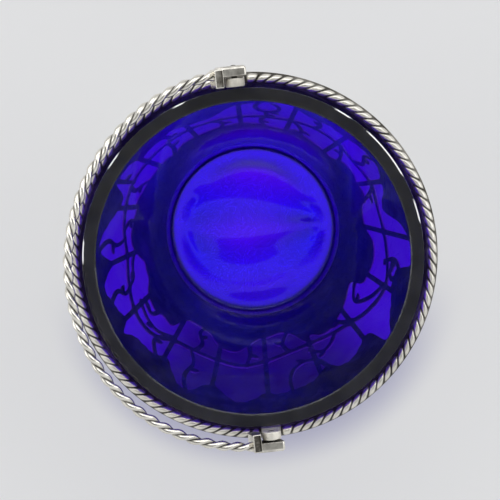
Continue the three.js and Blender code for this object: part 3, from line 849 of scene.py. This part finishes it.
lug_outline = [(-lug_half, rope_bottom - pivot), (lug_half, rope_bottom - pivot)]
lug_outline += corner_arc((0, 0), lug_half, 0, 180, 24)
pin_profile = [(0, lug_faces[0])]
pin_profile += corner_arc((pin_radius - pin_bevel, lug_faces[0] + pin_bevel), pin_bevel, -90, 0, 3)
pin_profile += [(pin_radius, pin_end - rivet_side)]
pin_profile += corner_arc((pin_radius * rivet_flat, pin_end - rivet_round), rivet_round, 20, 90, 5)
pin_profile += [(0, pin_end)]
silver_pin = silver_finish("silver_pin", 0.3, 1500.0, cloudy=0.4)
silver_filed = silver_finish("silver_filed", 0.55, 1800.0, grain_depth=0.9, stretch=(1, 0.06, 0.06))
for end, side in (("top", 1), ("bottom", -1)):
    lug = plate_mesh("lug_" + end, lug_outline, [circle(pin_radius + pin_clearance)], *lug_faces, lug_round)
    # The face beside the knuckle is painted dark as shade in the gap between them, and the rest is lightly
    # darkened.
    darkening = [1.0 if v.co.y > lug_faces[1] - face_reach else 0.15 for v in lug.vertices]
    point_values(lug, "oxide_and_shade", darkening)
    placed("lug_" + end, set_on_hinge(lug, side), silver_filed, "pail", "silver", "hinge_lug_" + end)
    # The pins are darkened all over.
    pin = turned_mesh("pin_" + end, pin_profile, steps=32, oxide_and_shade=1.0)
    pin.transform(Matrix.Diagonal((1 / MM, 1 / MM, 1 / MM, 1)))
    pin.transform(Matrix.Rotation(-math.pi / 2, 4, "X"))
    pin.transform(Matrix.Diagonal((1, 1, -1, 1)))
    placed("pin_" + end, set_on_hinge(pin, side), silver_pin, "pail", "silver", "hinge_pin_" + end)

# Handle.
# Two silver wires, each with a flat to the other, twisted together and bent to a half circle. Each
# end is soldered into a cast piece: a collar beside the lug and a knuckle that turns on the pin.
handle_tilt = 17
knuckle_radius = 2.1
knuckle_gap = 0.4
knuckle_reach = 2.5
knuckle_faces = (lug_faces[1] + knuckle_gap, lug_faces[1] + knuckle_reach)
knuckle_shoulder = 1.88
knuckle_corner = 0.5
knuckle_round = 0.7
neck_height = 0.87
neck_lap = 0.5
collar_gap = 0.15
collar_near = lug_half + collar_gap
collar_length = 1.9
collar_spare = 0.45
collar_width = 3.9
collar_half = 1.9
collar_round = 0.35
pocket_rim = 0.24
pocket_end = 0.08
pocket_depth = 0.45
pocket_round = 0.1
pocket_near = 0.2
pocket_reach = 0.12
top_reach = 0.012
block_half = 5
block_depth = 2
pocket_and_gap_shade = 1.0
top_shade = 0.75
dirt_on_sides = 0.2
wire_inset = 0.8
handle_radius = knuckle_faces[0] + wire_inset
strand_lap = 0.3
strand_radius = 0.64
strand_offset = 0.42
strand_gap = 0.08
twist_pitch = 6.55
strand_around = 18
strand_steps = 28
seam_start = 0.72
seam_width = 0.28
silver_hinge = silver_finish(
    "silver_hinge", 0.24, 1100.0, cloudy=0.4, grain_depth=0.8, stretch=(1, 0.3, 0.3),
)
silver_bright_wire = silver_finish("silver_bright_wire", 0.17, 1500.0, cloudy=0.15)

ridge = collar_near / math.cos(math.radians(handle_tilt))
collar_back = ridge + collar_half * math.tan(math.radians(handle_tilt))
collar_end = collar_length + ridge
collar_face = collar_end + collar_spare
collar_outline = [(-ridge, 0), (-collar_back, collar_half), (-collar_face, collar_half),
                  (-collar_face, -collar_half), (-collar_back, -collar_half)]
knuckle_outline = [(-collar_end + neck_lap, -knuckle_radius)]
knuckle_outline += corner_arc((0, 0), knuckle_radius, -90, 0, 12)
corner_middle = (knuckle_radius - knuckle_corner, knuckle_shoulder)
knuckle_outline += corner_arc(corner_middle, knuckle_corner, 0, 90 + handle_tilt, 6)
knuckle_outline += [(-collar_end + neck_lap, neck_height)]
pocket_floor = collar_half - pocket_depth
pocket_outline = [(-collar_face + pocket_rim, collar_half + 1), (-collar_face + pocket_rim, pocket_floor),
                  (-collar_back - pocket_end, pocket_floor), (-collar_back - pocket_end, collar_half + 1)]


def joined_mesh(name, first, *steps):
    """One closed solid: the first mesh, then each further one joined to it or cut out of it."""
    mesh = first
    for operation, part in steps:
        objects = [bpy.data.objects.new(name + "_part", m) for m in (mesh, part)]
        for helper in objects:
            scene.collection.objects.link(helper)
        cut = objects[0].modifiers.new("join", "BOOLEAN")
        cut.operation = operation
        cut.solver = "EXACT"
        cut.object = objects[1]
        bpy.context.view_layer.update()
        graph = bpy.context.evaluated_depsgraph_get()
        mesh = bpy.data.meshes.new_from_object(objects[0].evaluated_get(graph))
        for helper in objects:
            bpy.data.objects.remove(helper)
    mesh.name = name
    mesh.shade_smooth()
    mesh.set_sharp_from_angle(angle=math.radians(40))
    return mesh


def handle_end_mesh(name):
    """Knuckle and collar in one, with the bore for the pin and a shallow pocket in the collar."""
    knuckle_low = knuckle_faces[0] - knuckle_gap
    knuckle = plate_mesh("knuckle", knuckle_outline, [], knuckle_low, knuckle_faces[1], knuckle_round)
    block = [(x * block_half, z * block_half) for x, z in ((-1, -1), (1, -1), (1, 1), (-1, 1))]
    near_side = plate_mesh("near_side", block, [], knuckle_faces[0] - block_depth, knuckle_faces[0])
    collar_far = lug_faces[0] + collar_width
    collar = plate_mesh("collar", collar_outline, [], lug_faces[0], collar_far, collar_round)
    hole = circle(pin_radius + pin_clearance)
    bore = plate_mesh("bore", hole, [], knuckle_faces[0] - 1, knuckle_faces[1] + 1)
    pocket_sides = (lug_faces[0] + pocket_rim, collar_far - pocket_rim)
    pocket = plate_mesh("pocket", pocket_outline, [], *pocket_sides, pocket_round)
    mesh = joined_mesh(name, knuckle, ("DIFFERENCE", near_side), ("UNION", collar),
                       ("DIFFERENCE", bore), ("DIFFERENCE", pocket))
    x, y, z = np.array([v.co[:] for v in mesh.vertices]).T
    tilt = math.radians(handle_tilt)
    level = z * math.cos(tilt) - x * math.sin(tilt)
    flat_top = (x > -collar_near) & (level > level[x > 0].max() - top_reach)
    near_face = np.abs(y - knuckle_faces[0]) < face_reach
    in_pocket = (x < -collar_back) & (y > lug_faces[0] + pocket_near)
    in_pocket &= np.abs(z - pocket_floor) < pocket_reach
    # The flat top is painted darker as shade, and the pocket and the face beside the lug are painted dark
    # as shade in the hollow and the gap.
    darkening = np.where(flat_top, top_shade, dirt_on_sides)
    point_values(mesh, "oxide_and_shade", np.where(in_pocket | near_face, pocket_and_gap_shade, darkening))
    return mesh


for end, side in (("top", 1), ("bottom", -1)):
    handle_end = set_on_hinge(handle_end_mesh("handle_knuckle_" + end), side, handle_tilt)
    placed("handle_knuckle_" + end, handle_end, silver_hinge, "handle", "silver", "handle_end_" + end)


def strand_mesh(name, phase):
    """One wire of the twist, with its flat side to the other, swept along the bent centreline."""
    start = math.asin((collar_end + strand_lap) / handle_radius)
    sweep = math.pi - 2 * start
    turns = round(sweep * handle_radius / twist_pitch * 2) / 2
    steps = int(turns * strand_steps)
    wide = math.pi - math.acos((strand_offset - strand_gap / 2) / strand_radius)
    ring = np.linspace(-wide, wide, strand_around)
    away = strand_offset + strand_radius * np.cos(ring)
    along = strand_radius * np.sin(ring)
    away = np.concatenate([away, [strand_gap / 2] * 3])
    along = np.concatenate([along, along[-1] * np.array([0.5, 0.0, -0.5])])
    t = np.arange(steps + 1)[:, None] / steps
    turn = math.pi / 2 + start + sweep * t
    twist = phase + 2 * math.pi * turns * t
    out = handle_radius + away * np.cos(twist) - along * np.sin(twist)
    up = away * np.sin(twist) + along * np.cos(twist)
    points = np.stack([out * np.cos(turn), out * np.sin(turn), up], axis=-1)
    # The flat side where the two wires meet is darkened: oxide and painted shade in the crevice between
    # them.
    seam = np.clip((np.abs(ring) / wide - seam_start) / seam_width, 0, 1)
    oxide_and_shade = np.tile(np.concatenate([seam, np.ones(3)]), steps + 1)
    count = len(away)
    faces = grid_faces(steps + 1, count, False)
    faces.append(tuple(range(count)))
    faces.append(tuple(range(steps * count, (steps + 1) * count)))
    mesh = mesh_from(name, points.reshape(-1, 3), faces, 50.0, oxide_and_shade)
    mesh.transform(Matrix.Diagonal((1 / MM, 1 / MM, 1 / MM, 1)))
    return set_on_hinge(mesh, 1, handle_tilt)


for letter, phase in (("a", 0.0), ("b", math.pi)):
    wire = strand_mesh("wire_" + letter, phase)
    placed("wire_" + letter, wire, silver_bright_wire, "handle", "silver", "handle_strand_" + letter)

# Glass liner.
# Thick pressed cobalt glass with a flat ground rim and a faintly rippled floor. It stands loose on
# the base plate and lifts out. The white arcs painted on its outer arris stand for glints.
liner_low, liner_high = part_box("glass_liner")
liner_bottom = liner_low.z / MM
liner_top = liner_high.z / MM
liner_rim = liner_high.x / MM
liner_rim_width = 2.8
liner_mouth = liner_rim - liner_rim_width
liner_gap = 1.05
liner_foot = wall_foot_radius - liner_gap
liner_heel = 0.9
liner_floor_thickness = 2.8
liner_floor = liner_bottom + liner_floor_thickness
floor_inset = 2.3
liner_floor_radius = liner_foot - floor_inset
floor_fillet = 1
fillet_inset = 0.5
first_ring = 0.9
ring_step = 0.45
ripple_height = 0.3
ripple_pace = 0.4
ripple_start = 10.6
ripple_bow = 0.027
ripple_slant = 0.17
floor_bow = 0.0036
floor_slope = 0.01
ripple_reach = 17.6
ripple_fade = 4.0
arris_width = 0.26
arris_depth = 0.12
arris_left = 0.3
arris_room = (0.28, 0.15)
# Points over the rim, as (inward, below): the outer arris from the rim, the broken edge from the mouth
arris_points = ((0.01, 0.17), (0.0, arris_depth), (arris_width, 0.0), (0.3, 0.0))
mouth_points = ((-0.32, 0.0), (-0.06, 0.17), (0.0, 0.3))
# The white arcs, in degrees clockwise from the right of the picture
bright_arcs = ((178, 187), (212, 218), (242, 247), (299, 305), (311, 330), (340, 347))
glass_haze = (0.004, 0.017)
cobalt_tint = (0.62, 0.0, 0.985, 1.0)
cobalt_density = 1700.0


def floor_rise(x, y):
    """How far the ripples lift the glass floor at a place. They bend across it and fade at its edge."""
    right = x * math.cos(camera_roll) - y * math.sin(camera_roll)
    down = -x * math.sin(camera_roll) - y * math.cos(camera_roll)
    bend = (ripple_bow * right**2 + ripple_slant * right) * math.tanh((down + 2) / 5)
    wave = math.sin(ripple_pace * (down + ripple_start + bend))
    rise = floor_bow * right**2 + floor_slope * down + ripple_height * wave - ripple_height
    edge = min(1.0, max(0.0, (ripple_reach - math.hypot(x, y)) / ripple_fade))
    return rise * edge**2 * (3 - 2 * edge)


liner_profile = [(0, liner_bottom), (liner_foot - liner_heel, liner_bottom)]
liner_profile += corner_arc((liner_foot - liner_heel, liner_bottom + liner_heel), liner_heel, -90, -14, 5)
liner_profile += [(liner_rim - inward, liner_top - below) for inward, below in arris_points]
liner_profile += [(liner_mouth - inward, liner_top - below) for inward, below in mouth_points]
fillet_middle = (liner_floor_radius - fillet_inset, liner_floor + floor_fillet)
liner_profile += corner_arc(fillet_middle, floor_fillet, -25, -90, 6)
liner_profile += [(r, liner_floor) for r in np.arange(liner_floor_radius - first_ring, 0.3, -ring_step)]
liner_profile += [(0, liner_floor)]
liner_mesh = turned_mesh("cobalt_liner", liner_profile, sharp=20.0)
glints = []
for point in liner_mesh.vertices:
    x, y, z = point.co / MM
    if abs(z - liner_floor) < 0.05:
        point.co.z += floor_rise(x, y) * MM
    turn = (-math.degrees(math.atan2(y, x)) - math.degrees(camera_roll)) % 360
    on_arris = math.hypot(x, y) > liner_rim - arris_room[0] and z > liner_top - arris_room[1]
    bright = any(start < turn < stop for start, stop in bright_arcs)
    glints.append(float(on_arris and bright))
    if on_arris and not bright:
        at_top = z > liner_top - 0.01
        narrow = (liner_rim - arris_left * arris_width) / (liner_rim - arris_width) if at_top else 1.0
        lift = 0.0 if at_top else (1 - arris_left) * arris_depth
        point.co = Vector((x * narrow, y * narrow, z + lift)) * MM
point_values(liner_mesh, "glint", glints)

cobalt_glass, tree, shader, output = node_material("cobalt_glass")
shader.inputs["Base Color"].default_value = (1.0, 1.0, 1.0, 1.0)
shader.inputs["Roughness"].default_value = 0.0
shader.inputs["IOR"].default_value = 1.5
place = add_node(tree, "ShaderNodeTexCoord").outputs["Object"]
film = add_node(tree, "ShaderNodeTexNoise", Scale=220.0, Detail=4.0, Roughness=0.6)
tree.links.new(place, film.inputs["Vector"])
white = add_node(tree, "ShaderNodeAttribute", {"attribute_name": "glint"}).outputs["Fac"]
clear = add_node(tree, "ShaderNodeMath", {"operation": "SUBTRACT", "use_clamp": True})
clearness = [1 - haze for haze in glass_haze]
tree.links.new(mapped(tree, film.outputs["Fac"], 0.3, 0.7, *clearness), clear.inputs[0])
tree.links.new(white, clear.inputs[1])
tree.links.new(clear.outputs[0], shader.inputs["Transmission Weight"])
absorption = add_node(tree, "ShaderNodeVolumeAbsorption", Color=cobalt_tint, Density=cobalt_density)
tree.links.new(absorption.outputs["Volume"], output.inputs["Volume"])
placed("cobalt_liner", liner_mesh, cobalt_glass, "liner", "cobalt_glass", "glass_liner")

# Colour.
# The picture keeps its plain colours.
scene.view_settings.view_transform = "Standard"
